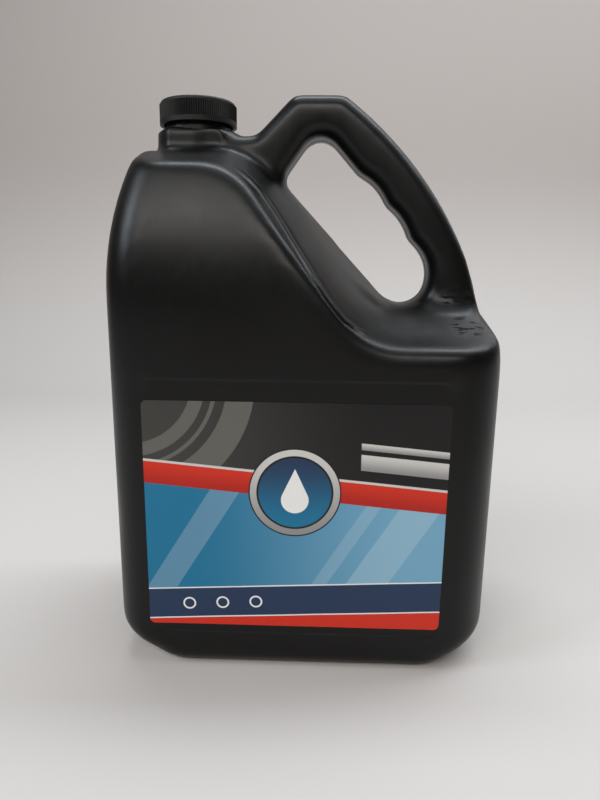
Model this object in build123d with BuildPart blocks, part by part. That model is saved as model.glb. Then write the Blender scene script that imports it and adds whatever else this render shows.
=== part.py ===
from build123d import *
import os
from math import asin, atan, cos, degrees, tan

os.makedirs("parts", exist_ok=True)

# Driving sizes in millimetres: X along the wide face, Y from front to back, Z up from the base
body_width = 206.0
body_depth = 124.0
wall = 1.3
left_round = 22.0
right_round = 27.0
half_width = body_width / 2
half_depth = body_depth / 2


def at(share, height):
    # A point of the front view, its X as a share of the half width
    return (share * half_width, height)


# Shoulder: the wide faces lean back above lean_start, and the side walls lean in above theirs
lean_start = 195.0
lean_radius = 185.0
left_lean_start = 203.0
left_lean_radius = 185.0
right_lean_start = 164.0
right_lean_radius = 95.0
right_lean_angle = 24.0
crown_top = 276.0
crown_knee = (72.4 - half_width, crown_top)
crown_heel = (half_width - 64.4, 194.0)

# Ridge of the shoulder in the plane of the front face, and the roof that rises from it to the crest
ridge_knee = (63.6 - half_width, 261.0)
ridge_heel = (half_width - 71.9, 177.0)
ridge_knee_round = 42.0
ridge_heel_round = 40.0
ridge_round = 7.0
ridge_shift = 0.44
roof_rise = 21.84
crest_half = 2.0
roof_angle = atan(roof_rise / (half_depth - crest_half))
roof_wall = 3.0

# Base: slanted side bevels and a shallow push-up
bevel_run = 33.0
bevel_rise = 18.0
bevel_round = 10.0
flat_round = 25.0
base_round = 4.0
push_up = 3.0
push_length = 0.563 * body_width
push_width = 0.742 * body_depth
push_corner = 20.0
push_taper = 40.0

# Handle: a slab that runs from the neck to the right shoulder, buried below in the shoulder
grip_half = 16.0
grip_round = 8.0
spine_round = 9.0
spine_start = at(-0.592, 285.4)
spine_bend = at(-0.277, 285.4)
spine_top = at(-0.078, 306.0)
grip_shoulder = at(0.18, 306.0)
grip_back = at(0.632, 261.0)
grip_foot = at(0.951, 194.5)
buried = [grip_foot, at(0.893, 172.0), at(0.33, 176.0), at(-0.408, 259.0), at(-0.592, 259.0), spine_start]

# Finger hole, with three bumps between four finger rests
hole_left = at(-0.146, 262.9)
hole_top = at(0.053, 291.4)
bump_one = at(0.272, 266.5)
rest_one = at(0.363, 260.2)
bump_two = at(0.422, 250.5)
rest_two = at(0.503, 242.8)
bump_three = at(0.553, 232.0)
hole_right = at(0.659, 211.0)
hole_low = at(0.414, 201.5)
hole_left_round = 7.0
hole_top_round = 11.0
bump_round = 10.0

# Neck and closure
neck_x = spine_start[0]
collar_radius = 22.2
collar_flat = 18.5
collar_round = 2.0
collar_low = 268.0
collar_top = 288.5
finish_radius = 17.5
bore_radius = 15.4
bore_reach = 4.0
mouth_z = 300.6
cap_radius = 20.9
cap_bottom = 291.2
cap_top = 303.4
cap_ceiling = 1.6
cap_band = 2.4
cap_edge = 1.6
rib_root = 20.3
rib_count = 108
rib_size = 0.8
rib_height = 8.0
cap_bore = 18.95
liner_radius = 18.6

# Label, and the shallow panel round it on the front
label_width = 157.0
label_height = 125.0
label_x = -0.038 * half_width
label_z = 88.4
label_corner = 3.0
label_thickness = 0.25
panel_side = 8.5
panel_under = 4.4
panel_over = 11.1
panel_depth = 0.7


def nearest_edge(shape, place):
    return min(shape.edges(), key=lambda e: (e.center() - Vector(*place)).length)


def upright_corners(shape, side):
    upright = [e for e in shape.edges() if abs(e.tangent_at(0.5).Z) > 0.5]
    return [e for e in upright if e.center().Y > half_depth / 2 and e.center().X * side > 0]


def crease_middle(point):
    # Half way up the roof from a corner of the ridge
    return (point[0] + ridge_shift * roof_rise / 2, (half_depth + crest_half) / 2, point[1] + roof_rise / 2)


def roof(inset):
    # What the slanted shoulder takes off behind the ridge
    ahead = 4.0
    beyond = body_width
    above = 2 * crown_top
    drop = roof_wall * inset / wall / cos(roof_angle) + ahead * tan(roof_angle)
    knee = (ridge_knee[0] - ridge_shift * drop, ridge_knee[1] - drop)
    heel = (ridge_heel[0] - ridge_shift * drop, ridge_heel[1] - drop)
    with BuildPart() as shape:
        with BuildSketch(Plane.XZ.offset(half_depth + ahead)):
            with BuildLine():
                Polyline((-beyond, knee[1]), knee, heel, (beyond, heel[1]))
                Polyline((beyond, heel[1]), (beyond, above), (-beyond, above), (-beyond, knee[1]))
            make_face()
        extrude(amount=crest_half - inset - half_depth - ahead, taper=degrees(roof_angle))
    return shape.part.mirror(Plane.XZ)


def half_tub(inset):
    # Back half of the walls: a wide face between the side walls, with rounded upright corners
    tall = crown_top + 9
    lean_angle = degrees(asin((tall - lean_start) / lean_radius))
    left_angle = degrees(asin((tall - left_lean_start) / left_lean_radius))
    ridge_middle = ((ridge_knee[0] + ridge_heel[0]) / 2, half_depth, (ridge_knee[1] + ridge_heel[1]) / 2)
    roof_cut = roof(inset)
    with BuildPart() as shape:
        with BuildSketch(Plane.YZ):
            with BuildLine():
                low = Line((half_depth, 0), (half_depth, lean_start))
                lean = JernArc(low @ 1, low % 1, lean_radius, lean_angle)
                Polyline(lean @ 1, (-half_depth, tall), (-half_depth, 0), low @ 0)
            make_face()
            if inset:
                offset(amount=-inset)
        extrude(amount=body_width, both=True)
        with BuildSketch(Plane.XZ):
            with BuildLine():
                right = Line((half_width, 0), (half_width, right_lean_start))
                right_lean = JernArc(right @ 1, right % 1, right_lean_radius, right_lean_angle)
                steep = right_lean % 1
                rise = (tall - (right_lean @ 1).Y) / steep.Y
                right_top = Line(right_lean @ 1, right_lean @ 1 + steep * rise)
                left = Line((-half_width, 0), (-half_width, left_lean_start))
                left_lean = JernArc(left @ 1, left % 1, left_lean_radius, -left_angle)
                Line(right_top @ 1, left_lean @ 1)
                Line(left @ 0, right @ 0)
            make_face()
            if inset:
                offset(amount=-inset)
        extrude(amount=-body_depth, mode=Mode.INTERSECT)
        fillet(upright_corners(shape, -1), left_round - inset)
        fillet(upright_corners(shape, 1), right_round - inset)
        add(roof_cut, mode=Mode.SUBTRACT)
        fillet(nearest_edge(shape, crease_middle(ridge_knee)), ridge_knee_round - inset)
        fillet(nearest_edge(shape, crease_middle(ridge_heel)), ridge_heel_round + inset)
        if not inset:
            fillet(nearest_edge(shape, ridge_middle), ridge_round)
    return shape.part


def crown(inset):
    # Outline that the shoulder and the base keep to, seen from the front
    beyond = 12.0
    reach = half_width + beyond
    low = bevel_rise * (1 + beyond / bevel_run)
    flat = half_width - bevel_run
    with BuildPart() as shape:
        with BuildSketch(Plane.XZ) as outline:
            with BuildLine():
                Polyline((-reach, low), (-flat, 0), (flat, 0), (reach, low), (reach, crown_heel[1]))
                Polyline((reach, crown_heel[1]), crown_heel, crown_knee, (-reach, crown_top), (-reach, low))
            make_face()
            fillet(outline.vertices().sort_by_distance((-flat, 0, 0))[0], flat_round)
            fillet(outline.vertices().sort_by_distance((flat, 0, 0))[0], flat_round)
            if inset:
                offset(amount=-inset)
        extrude(amount=body_depth, both=True)
    return shape.part


def base_edge(inset):
    # What the rounding of the base takes off along the back
    side = half_depth - inset
    turn = base_round - inset
    beyond = 1.0
    with BuildPart() as shape:
        with BuildSketch(Plane.YZ):
            with BuildLine():
                round_off = RadiusArc((side - turn, inset), (side, base_round), -turn)
                Polyline(round_off @ 1, (side + beyond, base_round), (side + beyond, inset - beyond))
                Polyline((side + beyond, inset - beyond), (side - turn, inset - beyond), round_off @ 0)
            make_face()
        extrude(amount=body_width, both=True)
    return shape.part


def is_buried(edge):
    middles = [((a[0] + b[0]) / 2, (a[1] + b[1]) / 2) for a, b in zip(buried, buried[1:])]
    return any(abs(edge.center().X - x) + abs(edge.center().Z - z) < grip_half / 2 for x, z in middles)


def grip(inset):
    # The through handle: a slab with rounded edges round the finger hole
    with BuildPart() as shape:
        with BuildSketch(Plane.XZ) as outline:
            with BuildLine():
                Polyline(spine_start, spine_bend, spine_top, grip_shoulder)
                ThreePointArc(grip_shoulder, grip_back, grip_foot)
                Polyline(buried)
            make_face()
            for corner in (spine_bend, spine_top, grip_shoulder):
                fillet(outline.vertices().sort_by_distance((*corner, 0))[0], spine_round)
            if inset:
                offset(amount=-inset)
        extrude(amount=grip_half - inset, both=True)
        with BuildSketch(Plane.XZ) as hole:
            with BuildLine():
                slope = Line(hole_left, hole_low)
                bottom = TangentArc(slope @ 1, hole_right, tangent=slope % 1)
                TangentArc(hole_right, bump_three, tangent=bottom % 1)
                ThreePointArc(bump_three, rest_two, bump_two)
                ThreePointArc(bump_two, rest_one, bump_one)
                Polyline(bump_one, hole_top, hole_left)
            make_face()
            if inset:
                offset(amount=inset, kind=Kind.INTERSECTION)
            fillet(hole.vertices().sort_by_distance((*hole_left, 0))[0], hole_left_round + inset)
            fillet(hole.vertices().sort_by_distance((*hole_top, 0))[0], hole_top_round + inset)
            for bump in (bump_one, bump_two, bump_three):
                fillet(hole.vertices().sort_by_distance((*bump, 0))[0], bump_round - inset)
        extrude(amount=body_depth, both=True, mode=Mode.SUBTRACT)
        rims = [e for e in shape.edges() if abs(abs(e.center().Y) - grip_half + inset) < 0.01]
        fillet([e for e in rims if not is_buried(e)], grip_round - inset)
    return shape.part


def blown(inset):
    # The blown form without its neck: the outside with no inset, the hollow with the wall as inset
    tub = half_tub(inset)
    outline = crown(inset)
    handle = grip(inset)
    edge = base_edge(inset)
    with BuildPart() as shape:
        add(tub)
        add(outline, mode=Mode.INTERSECT)
        right_bevel = nearest_edge(shape, (half_width, bevel_rise, bevel_rise))
        left_bevel = nearest_edge(shape, (-half_width, bevel_rise, bevel_rise))
        fillet([right_bevel, left_bevel], bevel_round - inset)
        add(edge, mode=Mode.SUBTRACT)
        mirror(about=Plane.XZ)
        add(handle)
    return shape.part


def panel(inset):
    # Shallow recess of the label panel, which runs out on the rounded corners
    width = label_width + 2 * panel_side
    height = label_height + panel_under + panel_over
    with BuildPart() as shape:
        with BuildSketch(Plane.XZ.offset(half_depth - panel_depth - inset)):
            with Locations((label_x, label_z + (panel_over - panel_under) / 2)):
                Rectangle(width + 2 * inset, height + 2 * inset)
        extrude(amount=body_depth)
    return shape.part


def raised_base(inset):
    # The middle of the base, which is pushed up
    with BuildPart() as shape:
        with BuildSketch(Plane.XY):
            RectangleRounded(push_length + 2 * inset, push_width + 2 * inset, push_corner + inset)
        extrude(amount=push_up + inset, taper=push_taper)
    return shape.part


outside = blown(0) - panel(0) - raised_base(0)
hollow = blown(wall) - panel(wall) - raised_base(wall)

# Bottle: blown body and handle, neck collar and neck finish in one hollow piece
with BuildPart() as bottle:
    add(outside)
    with BuildSketch(Plane.XY.offset(collar_low)):
        with Locations((neck_x, 0)):
            Circle(collar_radius)
            Rectangle(3 * collar_radius, 2 * collar_flat, mode=Mode.INTERSECT)
    extrude(amount=collar_top - collar_low)
    rims = [e for e in bottle.edges() if abs(e.center().Z - collar_top) < 0.01 and e.center().X < 0]
    fillet(rims, collar_round)
    with BuildSketch(Plane.XY.offset(collar_low)):
        with Locations((neck_x, 0)):
            Circle(finish_radius)
    extrude(amount=mouth_z - collar_low)
    add(hollow, mode=Mode.SUBTRACT)
    with BuildSketch(Plane.XY.offset(collar_low - bore_reach)):
        with Locations((neck_x, 0)):
            Circle(bore_radius)
    extrude(amount=mouth_z - collar_low + bore_reach, mode=Mode.SUBTRACT)

# Cap: a smooth band below, fine grip ribs above, and a rounded top edge
with BuildPart() as cap:
    with BuildSketch(Plane.XY.offset(cap_bottom)):
        with Locations((neck_x, 0)):
            Circle(cap_radius)
    extrude(amount=cap_band)
    with BuildSketch(Plane.XY.offset(cap_bottom)):
        with Locations((neck_x, 0)):
            Circle(rib_root)
    extrude(amount=cap_top - cap_bottom)
    fillet(cap.edges().sort_by(Axis.Z)[-1], cap_edge)
    with BuildSketch(Plane.XY.offset(cap_bottom + cap_band)):
        with Locations((neck_x, 0)):
            with PolarLocations(rib_root, rib_count):
                Rectangle(rib_size, rib_size, rotation=45)
            Circle(rib_root - rib_size / 2)
    extrude(amount=rib_height)
    with BuildSketch(Plane.XY.offset(cap_bottom)):
        with Locations((neck_x, 0)):
            Circle(cap_bore)
    extrude(amount=cap_top - cap_ceiling - cap_bottom, mode=Mode.SUBTRACT)

# Liner: the sealing disc between the rim of the mouth and the ceiling of the cap
with BuildPart() as cap_liner:
    with BuildSketch(Plane.XY.offset(mouth_z)):
        with Locations((neck_x, 0)):
            Circle(liner_radius)
    extrude(amount=cap_top - cap_ceiling - mouth_z)

# Label: printed film on the floor of the panel
with BuildPart() as label:
    with BuildSketch(Plane.XZ.offset(half_depth - panel_depth)):
        with Locations((label_x, label_z)):
            RectangleRounded(label_width, label_height, label_corner)
    extrude(amount=label_thickness)

bottle.part.label = "bottle"
cap.part.label = "cap"
cap_liner.part.label = "cap_liner"
label.part.label = "label"
export_step(bottle.part, "parts/bottle.step")
export_step(cap.part, "parts/cap.step")
export_step(cap_liner.part, "parts/cap_liner.step")
export_step(label.part, "parts/label.step")
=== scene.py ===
import bpy
import bmesh
from math import cos, exp, inf, pi, radians, sin
from mathutils import Matrix, Vector


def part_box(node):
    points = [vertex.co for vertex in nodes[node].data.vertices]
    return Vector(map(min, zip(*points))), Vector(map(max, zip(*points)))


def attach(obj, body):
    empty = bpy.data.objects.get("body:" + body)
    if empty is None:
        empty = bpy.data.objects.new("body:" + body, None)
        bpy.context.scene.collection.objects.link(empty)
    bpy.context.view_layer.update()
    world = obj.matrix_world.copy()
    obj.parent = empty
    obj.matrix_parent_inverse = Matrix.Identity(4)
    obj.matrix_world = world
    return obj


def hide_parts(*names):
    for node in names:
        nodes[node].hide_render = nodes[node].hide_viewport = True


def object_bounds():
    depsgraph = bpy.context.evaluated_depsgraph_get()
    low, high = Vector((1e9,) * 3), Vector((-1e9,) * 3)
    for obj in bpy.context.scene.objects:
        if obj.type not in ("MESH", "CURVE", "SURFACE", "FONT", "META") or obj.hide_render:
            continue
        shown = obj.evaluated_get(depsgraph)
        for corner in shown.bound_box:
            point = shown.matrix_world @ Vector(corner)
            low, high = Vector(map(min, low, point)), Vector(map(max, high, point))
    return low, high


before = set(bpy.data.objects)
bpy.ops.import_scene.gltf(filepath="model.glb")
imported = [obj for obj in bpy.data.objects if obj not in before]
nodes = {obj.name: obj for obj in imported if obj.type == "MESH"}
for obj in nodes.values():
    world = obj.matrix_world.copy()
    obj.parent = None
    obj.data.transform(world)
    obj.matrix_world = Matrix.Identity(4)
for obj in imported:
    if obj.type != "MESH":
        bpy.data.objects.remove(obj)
cad_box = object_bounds()
mm = 0.001

# The view: a camera close to the front, with its focal length in pixels of the picture's height
picture_height = 800
focal_pixels = 620
camera_place = Vector((6.69, -364.04, 220.79)) * mm
camera_pitch = radians(12.738)
camera_yaw = radians(-1.607)
camera_roll = radians(0.675)
sensor_height = 36

# Where the pieces are
cap_low, cap_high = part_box("cap")
label_low, label_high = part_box("label")
neck_x = (cap_low.x + cap_high.x) / 2
mouth_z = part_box("cap_liner")[0].z

# The softened bottle: cut below the collar's rounded rim, meshed afresh in even cells, and smoothed
rim_cut_z = 286.4 * mm
collar_top = 288.5 * mm
collar_reach = 26 * mm
bore_radius = 15.4 * mm
finish_radius = 17.5 * mm
finish_foot = collar_top - 2 * mm
rim_round = 0.5 * mm
neck_margin = 6.5 * mm
skin_cell = 1.95 * mm
merge_gap = 0.01 * mm
even_passes = 2
soft_passes = 6
front_y = -62 * mm
panel_y = -61.3 * mm
panel_low_z = 21.5 * mm
panel_high_z = 162 * mm
panel_left_x = -78 * mm
panel_right_x = 72 * mm
panel_margin = 9 * mm
step_half = 0.25 * mm
step_reach = 1.2 * mm
base_high_z = 7 * mm
sharp_angle = radians(38)

# Where the handle flows into the shoulder: each seam's ends on the back face and its reach, in millimetres,
# and its smoothing passes
flow_seams = [
    ((-8, 17, 254), (40, 17, 199), 16, 40),
    ((56, 18, 199), (86, 18, 195), 28, 77),
    ((97.5, 0, 197), (97.5, 16, 194), 13, 27),
]

# Beside the finger hole the roof behind the ridge runs on to the hole's edge: ends of ridge and edge in the
# front view, the roof's slope, and how far the roof is carried
ridge_start = Vector((-39.4, 261)) * mm
ridge_end = Vector((31.1, 177)) * mm
roof_slope = 0.364
hole_start = Vector((-15, 262.9)) * mm
hole_end = Vector((42.6, 201.5)) * mm
roof_near_y = 24 * mm
roof_reach = 4 * mm
roof_left_x = -9 * mm
roof_left_fade = 9 * mm
roof_right_x = 46 * mm
roof_right_fade = 14 * mm
hollow_depth = 2.2 * mm
hollow_cuts = 14

# The handle's slab keeps flat faces, so it is smoothed less
slab_half_y = 16.9 * mm
slab_left_x = -46 * mm
slab_low_z = 188 * mm

# The collar falls back to the handle's width on the side of the handle
collar_low_z = 273 * mm
recess_low_z = 277.5 * mm
recess_half_y = 18.5 * mm
recess_slope = 0.32
recess_passes = 2
recess_margin = 1 * mm
spine_half_y = 15.9 * mm

# A raised nick on the handle's spine
nick_place = Vector((92.1, 0, 215.1)) * mm
nick_reach = 2.6 * mm
nick_height = 0.5 * mm

# A fine pinched line behind the shoulder's ridge, on both faces: places along it, height and reach
crease_path = [Vector(place) * mm for place in (
    (-38, 265.6), (-33.5, 263.3), (-28.5, 259.4), (-23.6, 254.5), (-15.8, 243.6), (9.7, 204.5), (14.7, 198),
    (19.7, 192.3), (26.1, 187.5), (32.6, 184.5))]
crease_height = 0.4 * mm
crease_groove = 0.28 * mm
crease_half = 0.8 * mm
crease_cuts = 3
groove_place = 1.6
groove_sharpness = 2
crease_reach = 3 * mm
crease_fade = 12 * mm
crease_near_y = 30 * mm

# The mould's parting bead, at mid depth
bead_half = 0.6 * mm
bead_height = 0.25 * mm

# Threads of the neck and of the cap, which pass between each other
thread_pitch = 4.23 * mm
thread_turns = 1.5
thread_steps = 40
neck_thread_root = 17.3 * mm
neck_thread_crest = 18.6 * mm
cap_thread_root = 19.15 * mm
cap_thread_crest = 17.9 * mm
thread_base = 2.2 * mm
thread_flat = 0.9 * mm
neck_thread_start = cap_low.z + 2.0 * mm
cap_thread_start = neck_thread_start + thread_pitch / 2

# The label film, with one corner that has come away a little
label_width = label_high.x - label_low.x
label_height = label_high.z - label_low.z
label_thickness = label_high.y - label_low.y
label_corner = 3 * mm
label_cell = 3 * mm
lift_reach = 14 * mm
lift_height = 0.4 * mm
wave_height = 0.06 * mm
wave_length = 55 * mm
wave_shift = 1

# Plastics and foam: how much of the moulded grain is flow streaks, and the colours
streak_share = 0.35
bottle_black = (0.0034, 0.0031, 0.0030, 1)
# The lighter grey of the painted sheen on the ledge below the handle
ledge_sheen_grey = (0.042, 0.043, 0.044, 1)
speck_grey = (0.16, 0.15, 0.14, 1)
cap_black = (0.0045, 0.004, 0.0038, 1)
cap_dust = (0.017, 0.014, 0.012, 1)
foam_dark = (0.68, 0.66, 0.61, 1)
foam_light = (0.78, 0.77, 0.74, 1)

# Rub marks on the front of the handle's foot: their middles, and one over their reach each way
rub_marks = [((0.083, -0.019, 0.2020), (85, 90, 140)), ((0.085, -0.036, 0.190), (85, 60, 100))]

# A painted sheen on the front ledge below the handle, a lighter grey patch that stands in for its reflection
# of the light above: its middle, and one over its reach each way
sheen_place = (0.066, -0.036, 0.190)
sheen_reach = (22, 36, 70)

# The label's print, in millimetres from its lower left corner, in colours of ink
label_middle = 78.5
band_slope = 0.09
band_top = 86.0
band_height = 12.0
trim_low = -0.1
trim_high = 1.2
foot_slope = 0.05
foot_top = 24.0
strip_top = 6.5
strip_low = -4.0
arc_centre = (-8.0, 136.0)
disc_centre = (78.5, 77.0)
disc_radius = 19.0
rim_inner = 20.0
rim_outer = 23.4
rim_shade = 24.1
rim_fade = 23.0
rim_edge = 0.2
drop_centre = (78.5, 73.0)
drop_radius = 7.2
drop_height = 17.0
drop_shoulder = 3.05
drop_taper = 0.468
drop_edge = 0.1
print_edge = 0.15
line_width = 0.7
bar_start = 112.0
bar_edge = 0.6
bars = [(7.0, 15.5), (18.0, 21.5)]
arcs = [(34.0, 41.0), (45.0, 47.0), (52.0, 66.0)]
ground_fade = (20.0, 150.0)
top_fade = (0.0, 120.0)
sheen_lean = 0.62
sheen_bands = [(-14.0, 2.0, 0.2), (72.0, 80.0, 0.2), (90.0, 112.0, 0.28)]
ring_inner = 2.6
ring_outer = 3.5
dot_places = [(22.0, 12.4), (40.0, 13.3), (58.0, 14.2)]
film_blue = (0.006, 0.16, 0.30, 1)
film_sky = (0.17, 0.38, 0.54, 1)
film_pale = (0.50, 0.66, 0.74, 1)
film_black = (0.006, 0.0055, 0.0055, 1)
film_grey = (0.045, 0.043, 0.039, 1)
film_ash = (0.12, 0.115, 0.102, 1)
film_steel = (0.27, 0.265, 0.26, 1)
film_silver = (0.60, 0.585, 0.56, 1)
film_red = (0.62, 0.026, 0.008, 1)
film_dark_red = (0.42, 0.012, 0.005, 1)
film_navy = (0.014, 0.034, 0.085, 1)
film_white = (0.82, 0.81, 0.79, 1)

# Floor and backdrop
floor_half = 3.0
floor_front = -3.0
sweep_start = 0.6
sweep_radius = 0.4
sweep_steps = 16
backdrop_height = 2.2
floor_colour = (0.585, 0.55, 0.525, 1)
backdrop_colour = (0.44, 0.395, 0.37, 1)
backdrop_blend = 0.5

# Studio light: the room's own level, then each lamp's place, target, size, power and tint
room_tint = (1, 0.95, 0.89, 1)
room_level = 0.08
lamp_target = (0, 0, 0.22)
lamps = {
    "front_softbox": ((-0.25, -1.15, 1.02), lamp_target, (1.5, 0.42), 12.5, (1, 0.975, 0.95)),
    "ceiling_softbox": ((0.2, 0.1, 1.3), (0.2, 0.1, 0), (1.2, 1.4), 5, (0.92, 0.965, 1)),
    "ceiling_strip": ((0.5, 0.22, 1.25), (0.5, 0.22, 0), (1.8, 0.24), 12, (0.86, 0.94, 1)),
    "rear_softbox": ((0.85, 0.75, 0.95), lamp_target, (0.8, 0.8), 2.4, (0.95, 0.97, 1)),
    "left_window": ((-1.15, -0.5, 0.95), lamp_target, (0.5, 0.6), 8, (0.84, 0.92, 1)),
}


# Shader helpers
def new_material(name):
    material = bpy.data.materials.new(name)
    material.use_nodes = True
    tree = material.node_tree
    tree.nodes.clear()
    shader = tree.nodes.new("ShaderNodeBsdfPrincipled")
    output = tree.nodes.new("ShaderNodeOutputMaterial")
    tree.links.new(shader.outputs["BSDF"], output.inputs["Surface"])
    return material, tree, shader


def feed(tree, socket, value):
    """A socket takes a plain value, or a link from another socket."""
    if isinstance(value, bpy.types.NodeSocket):
        tree.links.new(value, socket)
    else:
        socket.default_value = value


def add_node(tree, kind, inputs=None, **settings):
    node = tree.nodes.new(kind)
    for name, value in settings.items():
        setattr(node, name, value)
    for key, value in (inputs or {}).items():
        feed(tree, node.inputs[key], value)
    return node


def maths(tree, operation, first, second=0.0):
    return add_node(tree, "ShaderNodeMath", {0: first, 1: second}, operation=operation).outputs[0]


def ramp(tree, value, start, end, low=0.0, high=1.0):
    """Rises smoothly from low to high as the value goes from start to end."""
    return add_node(tree, "ShaderNodeMapRange", {"Value": value, "From Min": start, "From Max": end,
                                                 "To Min": low, "To Max": high},
                    interpolation_type="SMOOTHSTEP").outputs["Result"]


def mix_colours(tree, share, first, second):
    node = add_node(tree, "ShaderNodeMix", data_type="RGBA")
    for index, value in ((0, share), (6, first), (7, second)):
        feed(tree, node.inputs[index], value)
    return node.outputs[2]


def mix_values(tree, share, first, second):
    node = add_node(tree, "ShaderNodeMix", data_type="FLOAT")
    for index, value in ((0, share), (2, first), (3, second)):
        feed(tree, node.inputs[index], value)
    return node.outputs[0]


def object_place(tree):
    return add_node(tree, "ShaderNodeTexCoord").outputs["Object"]


def noise(tree, place, scale, detail=2.0):
    node = add_node(tree, "ShaderNodeTexNoise", {"Vector": place, "Scale": scale, "Detail": detail})
    return node.outputs["Fac"]


def stretched(tree, place, factors, centre=(0, 0, 0)):
    """Places counted from a centre, each way by its own factor."""
    moved = add_node(tree, "ShaderNodeVectorMath", {0: place, 1: centre}, operation="SUBTRACT").outputs[0]
    return add_node(tree, "ShaderNodeVectorMath", {0: moved, 1: factors}, operation="MULTIPLY").outputs[0]


def from_spot(tree, place, reach, centre):
    """Distance from a centre, 1 at the reach each way, which is given as one over it."""
    spot = stretched(tree, place, reach, centre)
    return add_node(tree, "ShaderNodeVectorMath", {0: spot}, operation="LENGTH").outputs["Value"]


def moulded_grain():
    """Fine grain of moulded plastic, with flow streaks that run down it."""
    group = bpy.data.node_groups.new("moulded_grain", "ShaderNodeTree")
    sockets = group.interface
    sockets.new_socket("Place", in_out="INPUT", socket_type="NodeSocketVector")
    for name in ("Grain Scale", "Streak Scale", "Smoothest", "Roughest"):
        sockets.new_socket(name, in_out="INPUT", socket_type="NodeSocketFloat")
    sockets.new_socket("Height", in_out="OUTPUT", socket_type="NodeSocketFloat")
    sockets.new_socket("Roughness", in_out="OUTPUT", socket_type="NodeSocketFloat")
    given = group.nodes.new("NodeGroupInput").outputs
    result = group.nodes.new("NodeGroupOutput").inputs
    grain = noise(group, given["Place"], given["Grain Scale"], 4.0)
    drawn = stretched(group, given["Place"], (1, 1, 0.04))
    streaks = noise(group, drawn, given["Streak Scale"], 5.0)
    clouds = noise(group, given["Place"], 22.0, 3.0)
    drawn_out = maths(group, "MULTIPLY", streaks, streak_share)
    share = maths(group, "ADD", drawn_out, maths(group, "MULTIPLY", clouds, 1 - streak_share))
    rough = ramp(group, share, 0.3, 0.7, given["Smoothest"], given["Roughest"])
    height = maths(group, "ADD", grain, drawn_out)
    group.links.new(height, result["Height"])
    group.links.new(rough, result["Roughness"])
    return group


def grain_node(tree, group, place, grain_scale, streak_scale, smoothest, roughest):
    node = tree.nodes.new("ShaderNodeGroup")
    node.node_tree = group
    values = {"Place": place, "Grain Scale": grain_scale, "Streak Scale": streak_scale,
              "Smoothest": smoothest, "Roughest": roughest}
    for name, value in values.items():
        feed(tree, node.inputs[name], value)
    return node.outputs


def bump(tree, shader, height, strength, distance):
    node = add_node(tree, "ShaderNodeBump", {"Strength": strength, "Distance": distance, "Height": height})
    tree.links.new(node.outputs["Normal"], shader.inputs["Normal"])


# Finishes
def bottle_plastic(grain):
    """Black satin plastic, with rub marks and a painted sheen at the handle's foot, and a few pale specks."""
    material, tree, shader = new_material("bottle_plastic")
    shader.inputs["Specular IOR Level"].default_value = 0.28
    place = object_place(tree)
    surface = grain_node(tree, grain, place, 1500.0, 900.0, 0.29, 0.40)
    strokes = ramp(tree, noise(tree, stretched(tree, place, (0.22, 0.5, 1.0)), 640.0, 3.0), 0.49, 0.55)
    rubbed = 0.0
    for centre, reach in rub_marks:
        mark = ramp(tree, from_spot(tree, place, reach, centre), 1.0, 0.6)
        rubbed = maths(tree, "MAXIMUM", rubbed, mark)
    rubbed = maths(tree, "MULTIPLY", rubbed, strokes)
    cells = add_node(tree, "ShaderNodeTexVoronoi", {"Vector": place, "Scale": 55.0})
    chosen = add_node(tree, "ShaderNodeSeparateColor", {0: cells.outputs["Color"]}).outputs["Red"]
    specks = maths(tree, "MULTIPLY", ramp(tree, cells.outputs["Distance"], 0.035, 0.02),
                   ramp(tree, chosen, 0.80, 0.82))
    # Painted sheen: a lighter grey patch on the ledge below the handle for its reflection of the light above,
    # broken by noise and left off the rub marks
    film = ramp(tree, from_spot(tree, place, sheen_reach, sheen_place), 1.0, 0.3)
    painted_sheen = maths(tree, "MULTIPLY", film, ramp(tree, noise(tree, place, 120.0, 4.0), 0.0, 1.0, 0.5, 1.0))
    painted_sheen = maths(tree, "MULTIPLY", painted_sheen, maths(tree, "SUBTRACT", 1.0, rubbed))
    black = mix_colours(tree, painted_sheen, bottle_black, ledge_sheen_grey)
    tree.links.new(mix_colours(tree, specks, black, speck_grey), shader.inputs["Base Color"])
    tree.links.new(mix_values(tree, rubbed, surface["Roughness"], 1.0), shader.inputs["Roughness"])
    bump(tree, shader, surface["Height"], 0.12, 0.05 * mm)
    return material


def cap_plastic(grain):
    """Black moulded plastic, duller than the bottle's, with dust in it."""
    material, tree, shader = new_material("cap_plastic")
    shader.inputs["Specular IOR Level"].default_value = 0.3
    place = object_place(tree)
    surface = grain_node(tree, grain, place, 2200.0, 500.0, 0.45, 0.6)
    dust = ramp(tree, noise(tree, place, 260.0, 5.0), 0.45, 0.75, 0.0, 0.35)
    tree.links.new(mix_colours(tree, dust, cap_black, cap_dust), shader.inputs["Base Color"])
    tree.links.new(surface["Roughness"], shader.inputs["Roughness"])
    bump(tree, shader, surface["Height"], 0.15, 0.05 * mm)
    return material


def liner_foam():
    """Pale closed-cell foam."""
    material, tree, shader = new_material("liner_foam")
    place = object_place(tree)
    cells = add_node(tree, "ShaderNodeTexVoronoi", {"Vector": place, "Scale": 1400.0}).outputs["Distance"]
    tint = noise(tree, place, 90.0, 3.0)
    tree.links.new(mix_colours(tree, tint, foam_dark, foam_light), shader.inputs["Base Color"])
    tree.links.new(ramp(tree, cells, 0.0, 0.8, 0.62, 0.85), shader.inputs["Roughness"])
    bump(tree, shader, cells, 0.3, 0.1 * mm)
    return material


def within(tree, value, low, high):
    """1 where the value is between low and high, with the print's soft edges."""
    return maths(tree, "MULTIPLY", ramp(tree, value, low - print_edge, low + print_edge),
                 ramp(tree, value, high + print_edge, high - print_edge))


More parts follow.
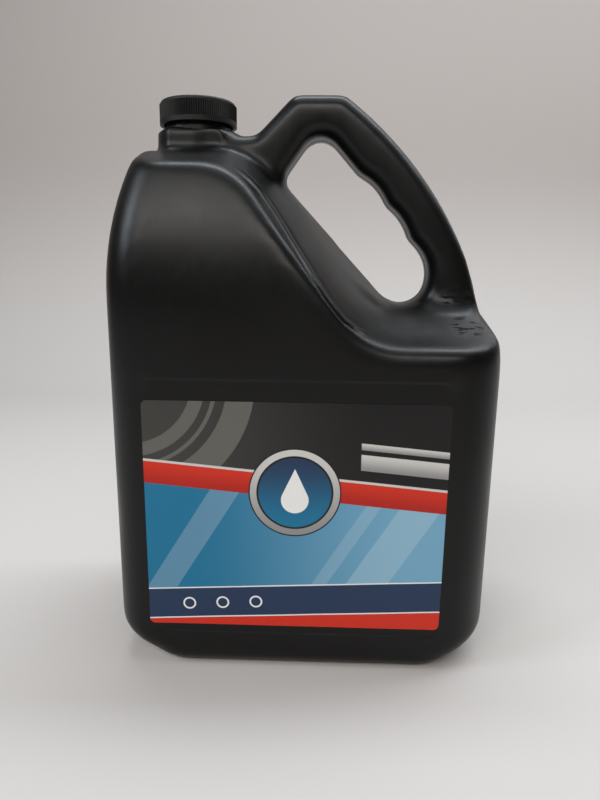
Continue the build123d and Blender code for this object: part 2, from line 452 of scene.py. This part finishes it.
def from_centre(tree, across, up, centre):
    """Distance on the label from a point, in millimetres."""
    side = maths(tree, "SUBTRACT", across, centre[0])
    rise = maths(tree, "SUBTRACT", up, centre[1])
    square = maths(tree, "ADD", maths(tree, "MULTIPLY", side, side), maths(tree, "MULTIPLY", rise, rise))
    return maths(tree, "SQRT", square)


def slanted(tree, across, up, slope):
    """Height on the label above a line that rises to the right by the slope, level at the middle."""
    past_middle = maths(tree, "SUBTRACT", across, label_middle)
    return maths(tree, "SUBTRACT", up, maths(tree, "MULTIPLY", past_middle, slope))


def lay_sheen(tree, across, up):
    """The blue ground, with pale slanting bands."""
    art = mix_colours(tree, ramp(tree, across, *ground_fade), film_blue, film_sky)
    line = maths(tree, "SUBTRACT", across, maths(tree, "MULTIPLY", up, sheen_lean))
    for low, high, share in sheen_bands:
        band = maths(tree, "MULTIPLY", within(tree, line, low, high), share)
        art = mix_colours(tree, band, art, film_pale)
    return art


def lay_top(tree, art, across, up, band_line):
    """The charcoal top, with grey arcs on the left and silver bars on the right."""
    top = ramp(tree, band_line, band_top - print_edge, band_top + print_edge)
    dusk = mix_colours(tree, ramp(tree, across, *top_fade), film_grey, film_black)
    art = mix_colours(tree, top, art, dusk)
    far = from_centre(tree, across, up, arc_centre)
    for low, high in arcs:
        art = mix_colours(tree, maths(tree, "MULTIPLY", top, within(tree, far, low, high)), art, film_ash)
    right_part = ramp(tree, across, bar_start, bar_start + bar_edge)
    for low, high in bars:
        low, high = band_top + low, band_top + high
        bar = maths(tree, "MULTIPLY", within(tree, band_line, low, high), right_part)
        silver = mix_colours(tree, ramp(tree, band_line, low, high), film_steel, film_silver)
        art = mix_colours(tree, bar, art, silver)
    return art


def lay_band(tree, art, band_line):
    """The red band, with a silver line along its top."""
    low = band_top - band_height
    red = mix_colours(tree, ramp(tree, band_line, low, band_top), film_dark_red, film_red)
    art = mix_colours(tree, within(tree, band_line, low, band_top), art, red)
    trim = within(tree, band_line, band_top + trim_low, band_top + trim_high)
    return mix_colours(tree, trim, art, film_silver)


def lay_foot(tree, art, across, up):
    """The navy foot with three rings, and the red strip below it, each under a white line."""
    line = slanted(tree, across, up, foot_slope)
    foot = ramp(tree, line, foot_top + print_edge, foot_top - print_edge)
    art = mix_colours(tree, foot, art, film_navy)
    art = mix_colours(tree, within(tree, line, foot_top, foot_top + line_width), art, film_white)
    art = mix_colours(tree, within(tree, line, strip_low, strip_top), art, film_red)
    art = mix_colours(tree, within(tree, line, strip_top, strip_top + line_width), art, film_white)
    for centre in dot_places:
        ring = from_centre(tree, across, up, centre)
        art = mix_colours(tree, within(tree, ring, ring_inner, ring_outer), art, film_white)
    return art


def lay_disc(tree, art, across, up):
    """A blue disc in a silver rim."""
    disc = from_centre(tree, across, up, disc_centre)
    height = maths(tree, "SUBTRACT", up, disc_centre[1])
    silver = mix_colours(tree, ramp(tree, height, -rim_fade, rim_fade), film_steel, film_silver)
    blue = mix_colours(tree, ramp(tree, height, -disc_radius, disc_radius), film_blue, film_navy)
    art = mix_colours(tree, ramp(tree, disc, rim_shade + rim_edge, rim_shade - rim_edge), art, film_black)
    art = mix_colours(tree, within(tree, disc, rim_inner, rim_outer), art, silver)
    return mix_colours(tree, ramp(tree, disc, disc_radius + rim_edge, disc_radius - rim_edge), art, blue)


def lay_drop(tree, art, across, up):
    """A white drop: a round bulb under a point."""
    bulb = from_centre(tree, across, up, drop_centre)
    side = maths(tree, "ABSOLUTE", maths(tree, "SUBTRACT", across, drop_centre[0]))
    shoulder = drop_centre[1] + drop_shoulder
    tip = maths(tree, "MULTIPLY", maths(tree, "SUBTRACT", drop_centre[1] + drop_height, up), drop_taper)
    point = maths(tree, "MULTIPLY", ramp(tree, maths(tree, "SUBTRACT", side, tip), print_edge, -print_edge),
                  ramp(tree, up, shoulder - drop_edge, shoulder + drop_edge))
    drop = maths(tree, "MAXIMUM", ramp(tree, bulb, drop_radius + print_edge, drop_radius - print_edge), point)
    return mix_colours(tree, drop, art, film_white)


def label_film():
    """Glossy printed film: plain fields, bands, rings and a drop."""
    material, tree, shader = new_material("label_film")
    shader.inputs["Specular IOR Level"].default_value = 0.3
    shader.inputs["Coat Weight"].default_value = 0.06
    shader.inputs["Coat Roughness"].default_value = 0.2
    place = object_place(tree)
    split = add_node(tree, "ShaderNodeSeparateXYZ", {0: place})
    across = maths(tree, "MULTIPLY", maths(tree, "SUBTRACT", split.outputs["X"], label_low.x), 1 / mm)
    up = maths(tree, "MULTIPLY", maths(tree, "SUBTRACT", split.outputs["Z"], label_low.z), 1 / mm)
    band_line = slanted(tree, across, up, -band_slope)
    art = lay_sheen(tree, across, up)
    art = lay_top(tree, art, across, up, band_line)
    art = lay_band(tree, art, band_line)
    art = lay_foot(tree, art, across, up)
    art = lay_disc(tree, art, across, up)
    art = lay_drop(tree, art, across, up)
    tree.links.new(art, shader.inputs["Base Color"])
    gloss = ramp(tree, noise(tree, place, 40.0, 2.0), 0.0, 1.0, 0.27, 0.34)
    tree.links.new(gloss, shader.inputs["Roughness"])
    bump(tree, shader, noise(tree, place, 60.0, 1.0), 0.015, 0.2 * mm)
    return material


# Mesh helpers
def new_piece(name, form, body, material):
    """A finished piece from a bmesh, which rides on a body and takes the given finish."""
    mesh = bpy.data.meshes.new(name)
    form.to_mesh(mesh)
    form.free()
    mesh.shade_smooth()
    mesh.set_sharp_from_angle(angle=sharp_angle)
    piece = bpy.data.objects.new(name, mesh)
    bpy.context.scene.collection.objects.link(piece)
    mesh.materials.append(material)
    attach(piece, body)
    return piece


def island_of(start):
    """The vertices that edges join to one vertex."""
    found = {start}
    waiting = [start]
    while waiting:
        for edge in waiting.pop().link_edges:
            fresh = [v for v in edge.verts if v not in found]
            found.update(fresh)
            waiting.extend(fresh)
    return found


def take_in(form, *others):
    """Adds other bmeshes to the first one."""
    for other in others:
        mesh = bpy.data.meshes.new("taken")
        other.to_mesh(mesh)
        other.free()
        form.from_mesh(mesh)
        bpy.data.meshes.remove(mesh)


def smooth(form, verts, passes):
    for _ in range(passes):
        bmesh.ops.smooth_vert(form, verts=verts, factor=0.5,
                              use_axis_x=True, use_axis_y=True, use_axis_z=True)


def spun(points, steps=96):
    """A profile of (radius, height) points turned round the neck's axis."""
    form = bmesh.new()
    verts = [form.verts.new((neck_x + radius, 0, height)) for radius, height in points]
    edges = [form.edges.new(pair) for pair in zip(verts, verts[1:])]
    bmesh.ops.spin(form, geom=[*verts, *edges], cent=(neck_x, 0, 0), axis=(0, 0, 1), dvec=(0, 0, 0),
                   angle=2 * pi, steps=steps, use_merge=True, use_duplicate=False)
    bmesh.ops.remove_doubles(form, verts=form.verts, dist=merge_gap)
    bmesh.ops.recalc_face_normals(form, faces=form.faces)
    return form


def thread(root, crest, start):
    """A helical ridge of trapezoid section round the neck's axis."""
    form = bmesh.new()
    low = [(root, -thread_base / 2), (crest, -thread_flat / 2)]
    section = [*low, (crest, thread_flat / 2), (root, thread_base / 2)]
    verts = [form.verts.new((neck_x + radius, 0, start + height)) for radius, height in section]
    face = form.faces.new(verts)
    steps = int(thread_steps * thread_turns)
    bmesh.ops.spin(form, geom=[face, *face.edges, *verts], cent=(neck_x, 0, 0), axis=(0, 0, 1),
                   dvec=(0, 0, thread_pitch * thread_turns / steps), angle=2 * pi * thread_turns,
                   steps=steps, use_merge=False, use_duplicate=False)
    bmesh.ops.recalc_face_normals(form, faces=form.faces)
    return form


# The bottle
def near_neck(place):
    return place.x < neck_x + collar_reach and place.z > rim_cut_z - neck_margin


def over_bore(place):
    reach = (bore_radius + finish_radius) / 2
    return (place.x - neck_x) ** 2 + place.y ** 2 < reach ** 2 and place.z > finish_foot


def on_front(place):
    return place.y < front_y + step_reach and panel_left_x < place.x < panel_right_x


def by_panel(place):
    return on_front(place) and panel_low_z - panel_margin < place.z < panel_high_z + panel_margin


def step_panel(form):
    """The panel's upper and lower steps, each between two close cuts, with flat faces on both sides."""
    for height in (panel_low_z, panel_high_z):
        for shift in (-step_half, step_half):
            faces = [f for f in form.faces if on_front(f.calc_center_median())]
            edges = {e for f in faces for e in f.edges}
            verts = {v for f in faces for v in f.verts}
            bmesh.ops.bisect_plane(form, geom=[*faces, *edges, *verts], dist=merge_gap / 10,
                                   plane_co=(0, 0, height + shift), plane_no=(0, 0, 1))
    for vert in [v for v in form.verts if by_panel(v.co)]:
        inside = panel_low_z < vert.co.z < panel_high_z
        vert.co.y = panel_y if inside else front_y


def without_neck():
    """The bottle's wall cut off below the collar's rim, as two bmeshes: its outside and its inside."""
    outside = bmesh.new()
    outside.from_mesh(nodes["bottle"].data)
    bmesh.ops.remove_doubles(outside, verts=outside.verts, dist=merge_gap)
    faces = [f for f in outside.faces if any(near_neck(v.co) for v in f.verts)]
    edges = {e for f in faces for e in f.edges}
    verts = {v for f in faces for v in f.verts}
    bmesh.ops.bisect_plane(outside, geom=[*faces, *edges, *verts], dist=merge_gap / 10,
                           plane_co=(0, 0, rim_cut_z), plane_no=(0, 0, 1))
    above = [v for v in outside.verts if near_neck(v.co) and v.co.z > rim_cut_z + merge_gap]
    bmesh.ops.delete(outside, geom=above, context="VERTS")
    inside = outside.copy()
    for form, keep_outer in ((outside, True), (inside, False)):
        outer = island_of(min(form.verts, key=lambda v: v.co.x))
        unwanted = [v for v in form.verts if (v in outer) != keep_outer]
        bmesh.ops.delete(form, geom=unwanted, context="VERTS")
    return outside, inside


def close_collar(form):
    """The collar's top, level, where the neck was taken off."""
    rim = [e for e in form.edges if e.is_boundary]
    top = bmesh.ops.contextual_create(form, geom=rim)["faces"]
    raised = bmesh.ops.extrude_face_region(form, geom=top)["geom"]
    verts = [v for v in raised if isinstance(v, bmesh.types.BMVert)]
    bmesh.ops.translate(form, verts=verts, vec=(0, 0, collar_top - rim_cut_z))
    bmesh.ops.delete(form, geom=top, context="FACES_ONLY")
    bmesh.ops.recalc_face_normals(form, faces=form.faces)


def meshed_afresh(form):
    """The same form in even cells."""
    rough = bpy.data.meshes.new("rough")
    form.to_mesh(rough)
    form.free()
    holder = bpy.data.objects.new("rough", rough)
    bpy.context.scene.collection.objects.link(holder)
    cells = holder.modifiers.new("cells", "REMESH")
    cells.mode = "VOXEL"
    cells.voxel_size = skin_cell
    even = bpy.data.meshes.new_from_object(holder.evaluated_get(bpy.context.evaluated_depsgraph_get()))
    fresh = bmesh.new()
    fresh.from_mesh(even)
    bpy.data.objects.remove(holder)
    bpy.data.meshes.remove(rough)
    bpy.data.meshes.remove(even)
    return fresh


def from_path(place, path):
    """Distance in the front view from a line of places, and the distance along it from its nearer end."""
    spot = Vector((place.x, place.z))
    total = sum((end - start).length for start, end in zip(path, path[1:]))
    nearest, along, passed = inf, 0, 0
    for start, end in zip(path, path[1:]):
        step = end - start
        share = min(max((spot - start).dot(step) / step.length_squared, 0), 1)
        distance = (spot - start - share * step).length
        if distance < nearest:
            nearest, along = distance, passed + share * step.length
        passed += step.length
    return nearest, min(along, total - along)


def from_seam(place, start, end):
    """Distance from a line in space on the back face, or from its mirror image on the front."""
    spot = Vector((place.x, abs(place.y), place.z))
    step = end - start
    share = min(max((spot - start).dot(step) / step.length_squared, 0), 1)
    return (spot - start - share * step).length


def flow_together(form):
    """Smooths each seam of the handle, most at the seam and less away from it."""
    for start, end, reach, passes in flow_seams:
        ends = Vector(start) * mm, Vector(end) * mm
        shares = {v: 1 - from_seam(v.co, *ends) / (reach * mm) for v in form.verts}
        near = {v: share for v, share in shares.items() if share > 0}
        for step in range(passes):
            smooth(form, [v for v, share in near.items() if share * passes > step], 1)


def carry_roof(form, depth=0):
    """Takes the handle's slab back to the roof's plane beside the finger hole, or to a depth below it."""
    along = (ridge_end - ridge_start).normalized()
    upward = Vector((-along.y, along.x))
    hole_rise = [upward.dot(end - ridge_start) for end in (hole_start, hole_end)]
    for vert in form.verts:
        side = abs(vert.co.y)
        rise = upward.dot(Vector((vert.co.x, vert.co.z)) - ridge_start)
        share = (vert.co.x - hole_start.x) / (hole_end.x - hole_start.x)
        edge = hole_rise[0] + share * (hole_rise[1] - hole_rise[0])
        limit = max(roof_slope * (-front_y), edge) - roof_slope * side - depth
        if side < roof_near_y and limit < rise < edge + roof_reach:
            fade = min(max((vert.co.x - roof_left_x) / roof_left_fade, 0), 1)
            fade *= min(max((roof_right_x - vert.co.x) / roof_right_fade, 0), 1)
            shift = upward * (limit - rise) * fade
            vert.co += Vector((shift.x, 0, shift.y))


def by_roof(place):
    return abs(place.y) < roof_near_y and slab_low_z < place.z < hole_start.y + roof_reach


def cut_hollow(form):
    """Cuts the hollow's long faces beside the finger hole, so that they can follow the roof."""
    for step in range(hollow_cuts):
        across = roof_left_x + (roof_right_x - roof_left_x) * step / (hollow_cuts - 1)
        faces = [f for f in form.faces if any(by_roof(v.co) for v in f.verts)]
        edges = {e for f in faces for e in f.edges}
        verts = {v for f in faces for v in f.verts}
        bmesh.ops.bisect_plane(form, geom=[*faces, *edges, *verts], dist=merge_gap / 10,
                               plane_co=(across, 0, 0), plane_no=(1, 0, 0))


def on_slab(place):
    return abs(place.y) < slab_half_y and place.x > slab_left_x and place.z > slab_low_z


def on_collar(place):
    return place.x < neck_x + collar_reach and place.z > collar_low_z


def beside_collar(place):
    return 0 < place.x - neck_x < collar_reach and recess_low_z < place.z < collar_top + recess_margin


def recess_collar(form):
    """Narrows the collar towards the handle, as far as the spine's width."""
    beside = [v for v in form.verts if beside_collar(v.co)]
    for vert in beside:
        limit = max(recess_half_y - recess_slope * (vert.co.x - neck_x), spine_half_y)
        vert.co.y = min(max(vert.co.y, -limit), limit)
    smooth(form, beside, recess_passes)


def nick_spine(form):
    """Raises the skin round the nick's place, most at its middle."""
    for vert in form.verts:
        near = 1 - (vert.co - nick_place).length / nick_reach
        if near > 0:
            vert.co += vert.normal * nick_height * near


def on_crease(place):
    return abs(place.y) > crease_near_y and from_path(place, crease_path)[0] < crease_reach


def pinch_crease(form):
    """A thin raised line between two shallow grooves."""
    strip = [f for f in form.faces if on_crease(f.calc_center_median())]
    edges = list({e for f in strip for e in f.edges})
    bmesh.ops.subdivide_edges(form, edges=edges, cuts=crease_cuts, use_grid_fill=True)
    form.normal_update()
    for vert in [v for v in form.verts if on_crease(v.co)]:
        distance, end_gap = from_path(vert.co, crease_path)
        turn = distance / crease_half
        groove = crease_groove * exp(-groove_sharpness * (turn - groove_place) ** 2)
        rise = crease_height * exp(-turn ** 2) - groove
        vert.co += vert.normal * rise * min(end_gap / crease_fade, 1)


def raise_parting_bead(form):
    """The line where the two halves of the mould met."""
    for depth in (-bead_half, 0, bead_half):
        bmesh.ops.bisect_plane(form, geom=[*form.verts, *form.edges, *form.faces], dist=merge_gap / 10,
                               plane_co=(0, depth, 0), plane_no=(0, 1, 0))
    form.normal_update()
    low, high = cad_box
    for vert in form.verts:
        if abs(vert.co.y) < merge_gap / 5:
            raised = vert.co + vert.normal * bead_height
            vert.co = [min(max(raised[i], low[i]), high[i]) for i in range(3)]


def make_bottle(material):
    outside, inside = without_neck()
    close_collar(outside)
    skin = meshed_afresh(outside)
    smooth(skin, skin.verts, even_passes)
    crisp = {v for v in skin.verts if v.co.z < base_high_z or on_slab(v.co) or on_collar(v.co)}
    smooth(skin, [v for v in skin.verts if v not in crisp], soft_passes)
    step_panel(skin)
    carry_roof(skin)
    flow_together(skin)
    recess_collar(skin)
    pinch_crease(skin)
    nick_spine(skin)
    hidden = [f for f in skin.faces if over_bore(f.calc_center_median())]
    bmesh.ops.delete(skin, geom=hidden, context="FACES")
    raise_parting_bead(skin)
    finish = spun([
        (bore_radius, rim_cut_z - rim_round), (bore_radius, mouth_z - rim_round),
        (bore_radius + rim_round, mouth_z), (finish_radius - rim_round, mouth_z),
        (finish_radius, mouth_z - rim_round), (finish_radius, finish_foot)])
    cut_hollow(inside)
    carry_roof(inside, hollow_depth)
    take_in(skin, inside, finish, thread(neck_thread_root, neck_thread_crest, neck_thread_start))
    piece = new_piece("bottle_wall", skin, "jug", material)
    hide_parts("bottle")


def make_cap_thread(material):
    form = thread(cap_thread_root, cap_thread_crest, cap_thread_start)
    new_piece("cap_thread", form, "cap", material)


def make_label(material):
    """The film as a sheet of small cells with rounded corners, faintly wavy, one corner lifted."""
    form = bmesh.new()
    bmesh.ops.create_grid(form, x_segments=1, y_segments=1, size=0.5)
    bmesh.ops.scale(form, verts=form.verts, vec=(label_width, label_height, 1))
    bmesh.ops.bevel(form, geom=form.verts[:], offset=label_corner, offset_type="OFFSET", segments=8,
                    profile=0.5, affect="VERTICES", material=-1)
    for normal, size in (((1, 0, 0), label_width), ((0, 1, 0), label_height)):
        cuts = int(size / label_cell)
        for step in range(1, cuts):
            place = Vector(normal) * size * (step / cuts - 0.5)
            bmesh.ops.bisect_plane(form, geom=[*form.verts, *form.edges, *form.faces], dist=merge_gap / 10,
                                   plane_co=place, plane_no=normal)
    bmesh.ops.rotate(form, verts=form.verts, matrix=Matrix.Rotation(pi / 2, 3, "X"))
    middle = (label_low + label_high) / 2
    bmesh.ops.translate(form, verts=form.verts, vec=(middle.x, label_low.y, middle.z))
    loose_corner = Vector((label_low.x, 0, label_low.z))
    for vert in form.verts:
        flat = Vector((vert.co.x, 0, vert.co.z))
        lift = max(0, 1 - (flat - loose_corner).length / lift_reach) ** 2 * lift_height
        swell = sin(vert.co.x / wave_length * 2 * pi)
        wave = swell * sin(vert.co.z / wave_length * 2 * pi + wave_shift) * wave_height
        vert.co.y -= lift + wave
    grown = bmesh.ops.extrude_face_region(form, geom=form.faces[:])["geom"]
    back = [v for v in grown if isinstance(v, bmesh.types.BMVert)]
    bmesh.ops.translate(form, verts=back, vec=(0, label_thickness, 0))
    bmesh.ops.recalc_face_normals(form, faces=form.faces)
    piece = new_piece("label_film", form, "jug", material)
    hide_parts("label")


def paint(piece, material):
    piece.data.materials.clear()
    piece.data.materials.append(material)


# Stage, view and light
def floor_and_backdrop():
    mesh = bpy.data.meshes.new("floor")
    form = bmesh.new()
    left = form.verts.new((-floor_half, floor_front, 0))
    right = form.verts.new((floor_half, floor_front, 0))
    edge = form.edges.new((left, right))
    grown = bmesh.ops.extrude_edge_only(form, edges=[edge])["geom"]
    moved = [v for v in grown if isinstance(v, bmesh.types.BMVert)]
    bmesh.ops.translate(form, verts=moved, vec=(0, sweep_start - floor_front, 0))
    rim = [e for e in grown if isinstance(e, bmesh.types.BMEdge) and all(v in moved for v in e.verts)]
    swept = bmesh.ops.spin(
        form, geom=rim, cent=(0, sweep_start, sweep_radius), axis=(1, 0, 0), dvec=(0, 0, 0),
        angle=pi / 2, steps=sweep_steps, use_merge=False, use_duplicate=False)["geom_last"]
    rise = bmesh.ops.extrude_edge_only(form, edges=[e for e in swept if isinstance(e, bmesh.types.BMEdge)])
    top = [v for v in rise["geom"] if isinstance(v, bmesh.types.BMVert)]
    bmesh.ops.translate(form, verts=top, vec=(0, 0, backdrop_height))
    bmesh.ops.recalc_face_normals(form, faces=form.faces)
    form.to_mesh(mesh)
    form.free()
    mesh.shade_smooth()
    floor = bpy.data.objects.new("floor", mesh)
    bpy.context.scene.collection.objects.link(floor)
    material, tree, shader = new_material("pale_board")
    height = add_node(tree, "ShaderNodeSeparateXYZ", {0: object_place(tree)}).outputs["Z"]
    board = mix_colours(tree, ramp(tree, height, 0.0, backdrop_blend), floor_colour, backdrop_colour)
    tree.links.new(board, shader.inputs["Base Color"])
    shader.inputs["Roughness"].default_value = 0.8
    paint(floor, material)


def set_camera():
    forward = Vector((sin(camera_yaw) * cos(camera_pitch), cos(camera_yaw) * cos(camera_pitch),
                      -sin(camera_pitch)))
    level = Vector((cos(camera_yaw), -sin(camera_yaw), 0))
    down = forward.cross(level)
    across = cos(camera_roll) * level - sin(camera_roll) * down
    below = cos(camera_roll) * down + sin(camera_roll) * level
    turned = Matrix((across, -below, -forward)).transposed().to_4x4()
    camera = bpy.data.cameras.new("camera")
    camera.sensor_fit = "VERTICAL"
    camera.sensor_height = sensor_height
    camera.lens = focal_pixels / picture_height * sensor_height
    camera.clip_start = 0.01
    holder = bpy.data.objects.new("camera", camera)
    bpy.context.scene.collection.objects.link(holder)
    holder.matrix_world = Matrix.Translation(camera_place) @ turned
    bpy.context.scene.camera = holder


def add_lamp(name, place, target, size, power, tint):
    lamp = bpy.data.lights.new(name, "AREA")
    lamp.shape = "RECTANGLE"
    lamp.size, lamp.size_y = size
    lamp.energy = power
    lamp.color = tint
    holder = bpy.data.objects.new(name, lamp)
    bpy.context.scene.collection.objects.link(holder)
    holder.location = place
    holder.rotation_euler = (Vector(target) - Vector(place)).to_track_quat("-Z", "Y").to_euler()


def light_the_scene():
    world = bpy.data.worlds.new("studio")
    bpy.context.scene.world = world
    world.use_nodes = True
    sky = world.node_tree.nodes["Background"]
    sky.inputs["Color"].default_value = room_tint
    sky.inputs["Strength"].default_value = room_level
    for name, values in lamps.items():
        add_lamp(name, *values)


bpy.context.scene.view_settings.view_transform = "Standard"
floor_and_backdrop()
set_camera()
light_the_scene()
plastic_grain = moulded_grain()
cap_finish = cap_plastic(plastic_grain)
make_bottle(bottle_plastic(plastic_grain))
make_label(label_film())
make_cap_thread(cap_finish)
paint(nodes["cap"], cap_finish)
paint(nodes["cap_liner"], liner_foam())
